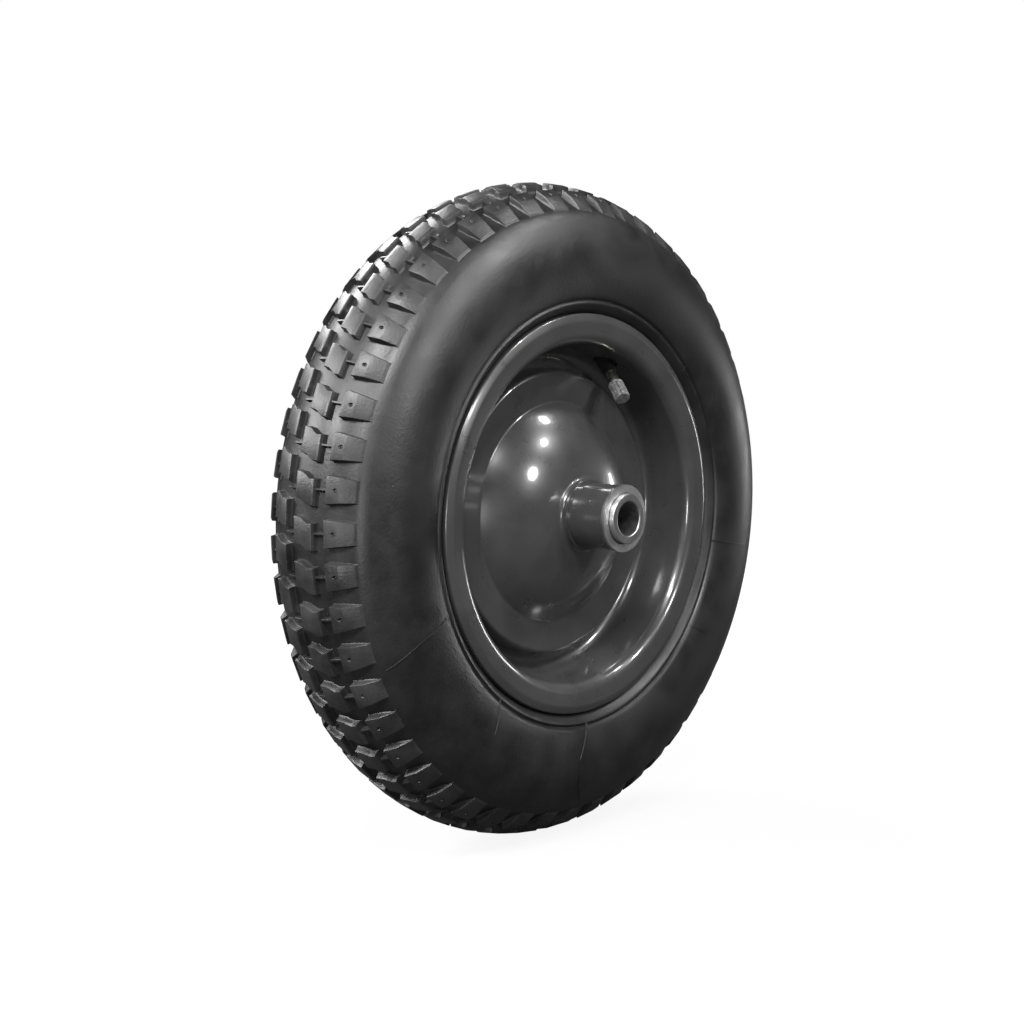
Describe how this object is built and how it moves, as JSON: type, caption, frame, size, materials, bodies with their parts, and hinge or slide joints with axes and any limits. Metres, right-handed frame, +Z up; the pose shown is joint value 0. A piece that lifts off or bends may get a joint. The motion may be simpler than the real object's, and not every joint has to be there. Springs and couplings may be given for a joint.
{
  "type": "pneumatic wheel",
  "caption": "Pneumatic wheel for carts: block-tread tyre and tube on a dished steel rim with ball-bearing hub.",
  "frame": {"origin": "centre of the wheel, on the spin axis in the tyre's middle plane", "axes": "+Y along the spin axis from the valve side to the far side, +Z up, +X to the right seen from the valve side"},
  "size_m": [0.3878, 0.1376, 0.3878],
  "materials": {
    "tyre_rubber": "matt black moulded rubber",
    "tube_rubber": "smooth black butyl rubber",
    "rim_paint": "glossy dark grey paint on pressed steel",
    "bearing_steel": "turned bright steel",
    "shield_steel": "satin zinc-plated steel",
    "ball_steel": "polished bearing steel",
    "cage_steel": "pressed steel",
    "stem_rubber": "moulded black rubber",
    "valve_brass": "nickel-plated brass",
    "valve_steel": "bright wire",
    "cap_plastic": "dark moulded plastic",
    "seal_rubber": "soft black rubber"
  },
  "bodies": {
    "axle_races": {"near_inner_race": "bearing_steel", "far_inner_race": "bearing_steel"},
    "wheel": {"tyre": "tyre_rubber", "inner_tube": "tube_rubber", "hub_tube": "rim_paint", "near_rim_half": "rim_paint", "far_rim_half": "rim_paint", "near_outer_race": "bearing_steel", "far_outer_race": "bearing_steel", "near_bearing_shield": "shield_steel", "far_bearing_shield": "shield_steel", "valve_stem": "stem_rubber", "valve_body": "valve_brass", "valve_core_body": "valve_brass", "valve_core_spring": "valve_steel"},
    "near_ball_set": {"near_balls": "ball_steel", "near_ball_cage": "cage_steel"},
    "far_ball_set": {"far_balls": "ball_steel", "far_ball_cage": "cage_steel"},
    "core_pin": {"valve_core_pin": "valve_steel"},
    "cap_lift": {"valve_cap_seal": "seal_rubber"},
    "cap": {"valve_cap": "cap_plastic"}
  },
  "joints": [
    {"name": "wheel_spin", "type": "hinge", "parent": "axle_races", "child": "wheel", "pos_m": [0, 0, 0], "axis": [0, 1, 0], "continuous": true},
    {"name": "near_ball_spin", "type": "hinge", "parent": "axle_races", "child": "near_ball_set", "pos_m": [0, 0, 0], "axis": [0, 1, 0], "continuous": true},
    {"name": "far_ball_spin", "type": "hinge", "parent": "axle_races", "child": "far_ball_set", "pos_m": [0, 0, 0], "axis": [0, 1, 0], "continuous": true},
    {"name": "pin_press", "type": "slide", "parent": "wheel", "child": "core_pin", "axis": [-0.3237, -0.6884, -0.6491], "range_m": [-0.001, 0], "stiffness_N_per_m": 300, "springref_m": 0.002},
    {"name": "cap_rise", "type": "slide", "parent": "wheel", "child": "cap_lift", "axis": [-0.3237, -0.6884, -0.6491], "range_m": [0, 0.01]},
    {"name": "cap_turn", "type": "hinge", "parent": "cap_lift", "child": "cap", "pos_m": [0.03599, -0.03121, 0.07217], "axis": [-0.3237, -0.6884, -0.6491], "range_deg": [0, 4536]}
  ],
  "couplings": [
    {"joint": "near_ball_spin", "follows": "wheel_spin", "ratio": 0.585},
    {"joint": "far_ball_spin", "follows": "wheel_spin", "ratio": 0.585},
    {"joint": "cap_turn", "follows": "cap_rise", "rad_per_m": 7913.3}
  ]
}
